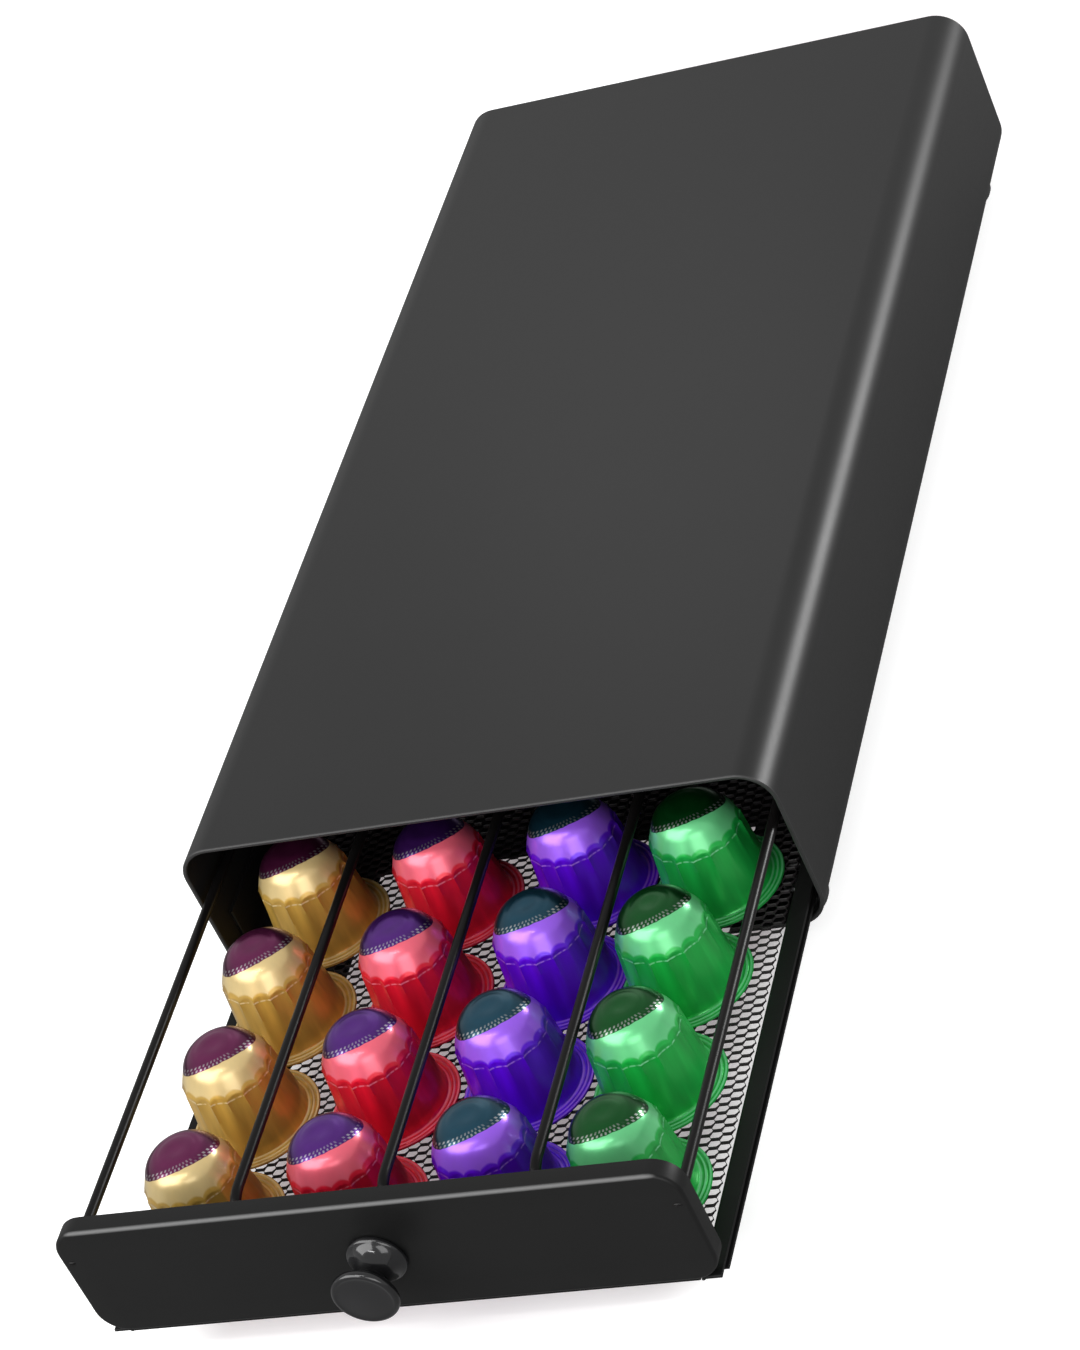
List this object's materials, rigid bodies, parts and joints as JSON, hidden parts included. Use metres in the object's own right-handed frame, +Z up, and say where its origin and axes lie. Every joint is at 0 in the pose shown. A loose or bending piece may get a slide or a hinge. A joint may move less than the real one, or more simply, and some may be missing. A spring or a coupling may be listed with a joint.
{
  "type": "coffee pod drawer",
  "caption": "Low black steel sleeve with a pull-out wire drawer of coffee pods in four lanes and a round knob.",
  "frame": {"origin": "middle of the footprint of sleeve and part-open drawer, on the plane the feet stand on", "axes": "+Z up, -Y to the front where the knob is, +X to the right seen from the back"},
  "size_m": [0.177, 0.5088, 0.0615],
  "materials": {
    "sleeve_black": "satin powder coat",
    "panel_black": "satin powder coat",
    "frame_black": "satin powder coat",
    "wire_black": "satin powder coat",
    "zinc_steel": "bright zinc plate",
    "knob_gloss": "gloss",
    "foot_rubber": "matte",
    "foil_gold": "lacquered, satin",
    "foil_red": "lacquered, satin",
    "foil_blue": "lacquered, satin",
    "foil_green": "lacquered, satin"
  },
  "bodies": {
    "casing": {"foot_front_left": "foot_rubber", "foot_front_right": "foot_rubber", "foot_rear_left": "foot_rubber", "foot_rear_right": "foot_rubber", "rivet_front_left": "zinc_steel", "rivet_front_right": "zinc_steel", "rivet_rear_left": "zinc_steel", "rivet_rear_right": "zinc_steel", "runner_left": "frame_black", "runner_right": "frame_black", "sleeve_shell": "sleeve_black", "tie_front": "frame_black", "tie_rear": "frame_black"},
    "drawer": {"back_rail": "wire_black", "divider_1": "wire_black", "divider_2": "wire_black", "divider_3": "wire_black", "floor_rod_1": "wire_black", "floor_rod_2": "wire_black", "floor_rod_3": "wire_black", "frame_front": "frame_black", "frame_left": "frame_black", "frame_rear": "frame_black", "frame_right": "frame_black", "front_panel": "panel_black", "knob": "knob_gloss", "knob_screw": "zinc_steel", "knob_washer": "zinc_steel", "mesh_floor": "frame_black", "pod_blue_1": "foil_blue", "pod_blue_2": "foil_blue", "pod_blue_3": "foil_blue", "pod_blue_4": "foil_blue", "pod_gold_1": "foil_gold", "pod_gold_2": "foil_gold", "pod_gold_3": "foil_gold", "pod_gold_4": "foil_gold", "pod_green_1": "foil_green", "pod_green_2": "foil_green", "pod_green_3": "foil_green", "pod_green_4": "foil_green", "pod_red_1": "foil_red", "pod_red_2": "foil_red", "pod_red_3": "foil_red", "pod_red_4": "foil_red", "rail_left": "wire_black", "rail_right": "wire_black", "stop_lug_left": "frame_black", "stop_lug_right": "frame_black"}
  },
  "joints": [
    {"name": "drawer_slide", "type": "slide", "parent": "casing", "child": "drawer", "axis": [0, -1, 0], "range_m": [-0.1327, 0.15]}
  ]
}
